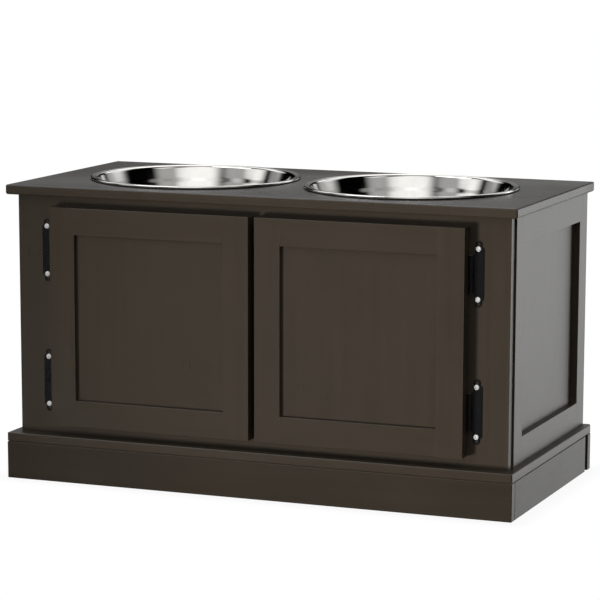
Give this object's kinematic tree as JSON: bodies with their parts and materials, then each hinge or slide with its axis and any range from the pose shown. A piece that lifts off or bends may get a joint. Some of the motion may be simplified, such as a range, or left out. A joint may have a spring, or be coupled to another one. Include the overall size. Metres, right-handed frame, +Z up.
{
  "type": "elevated dog feeder with storage",
  "caption": "Low painted-wood cabinet that holds lift-out steel bowls in its top and pet food or gear behind a pair of framed hinged doors.",
  "frame": {"origin": "on the floor, under the middle of the base", "axes": "+X to the right seen from the front, +Y to the back, +Z up; the doors face -Y"},
  "size_m": [0.6, 0.3, 0.3375],
  "materials": {
    "espresso_paint": "satin espresso-brown paint with a fine orange-peel",
    "raw_board": "bare pine",
    "dowel_wood": "bare beech",
    "bowl_steel": "polished stainless steel",
    "hinge_black": "satin black",
    "zinc_screws": "bright zinc-plated",
    "spring_steel": "plain spring steel",
    "clear_bumper": "clear soft plastic"
  },
  "bodies": {
    "cabinet": {"top_board": "espresso_paint", "base_board": "espresso_paint", "plinth_front": "espresso_paint", "plinth_left": "espresso_paint", "plinth_right": "espresso_paint", "plinth_back": "espresso_paint", "plinth_corner_blocks": "raw_board", "face_stile_left": "espresso_paint", "face_stile_right": "espresso_paint", "face_rail_top": "espresso_paint", "face_rail_bottom": "espresso_paint", "side_left_front_stile": "espresso_paint", "side_left_back_stile": "espresso_paint", "side_left_top_rail": "espresso_paint", "side_left_bottom_rail": "espresso_paint", "side_left_panel": "espresso_paint", "side_right_front_stile": "espresso_paint", "side_right_back_stile": "espresso_paint", "side_right_top_rail": "espresso_paint", "side_right_bottom_rail": "espresso_paint", "side_right_panel": "espresso_paint", "back_panel": "espresso_paint", "back_rail": "raw_board", "top_cleat_left": "raw_board", "top_cleat_right": "raw_board", "frame_leaf_left_upper": "hinge_black", "frame_leaf_left_lower": "hinge_black", "frame_leaf_right_upper": "hinge_black", "frame_leaf_right_lower": "hinge_black", "hinge_pins": "hinge_black", "frame_leaf_screws": "zinc_screws", "rail_dowels": "dowel_wood", "face_frame_dowels": "dowel_wood", "cleat_screws": "zinc_screws", "base_screws": "zinc_screws", "plinth_screws": "zinc_screws", "back_nails": "zinc_screws"},
    "left_door": {"door_left_hinge_stile": "espresso_paint", "door_left_free_stile": "espresso_paint", "door_left_top_rail": "espresso_paint", "door_left_bottom_rail": "espresso_paint", "door_left_panel": "espresso_paint", "door_leaf_left_upper": "hinge_black", "door_leaf_left_lower": "hinge_black", "hinge_springs_left": "spring_steel", "door_leaf_screws_left": "zinc_screws", "door_bumpers_left": "clear_bumper"},
    "right_door": {"door_right_hinge_stile": "espresso_paint", "door_right_free_stile": "espresso_paint", "door_right_top_rail": "espresso_paint", "door_right_bottom_rail": "espresso_paint", "door_right_panel": "espresso_paint", "door_leaf_right_upper": "hinge_black", "door_leaf_right_lower": "hinge_black", "hinge_springs_right": "spring_steel", "door_leaf_screws_right": "zinc_screws", "door_bumpers_right": "clear_bumper"},
    "left_bowl": {"bowl_left": "bowl_steel"},
    "right_bowl": {"bowl_right": "bowl_steel"}
  },
  "joints": [
    {"name": "left_door_hinge", "type": "hinge", "parent": "cabinet", "child": "left_door", "pos_m": [-0.2465, -0.1349, 0.18715], "axis": [0, 0, -1], "range_deg": [0, 105]},
    {"name": "right_door_hinge", "type": "hinge", "parent": "cabinet", "child": "right_door", "pos_m": [0.2465, -0.1349, 0.18715], "axis": [0, 0, 1], "range_deg": [0, 105]},
    {"name": "left_bowl_lift", "type": "slide", "parent": "cabinet", "child": "left_bowl", "axis": [0, 0, 1], "range_m": [0, 0.09]},
    {"name": "right_bowl_lift", "type": "slide", "parent": "cabinet", "child": "right_bowl", "axis": [0, 0, 1], "range_m": [0, 0.09]}
  ]
}
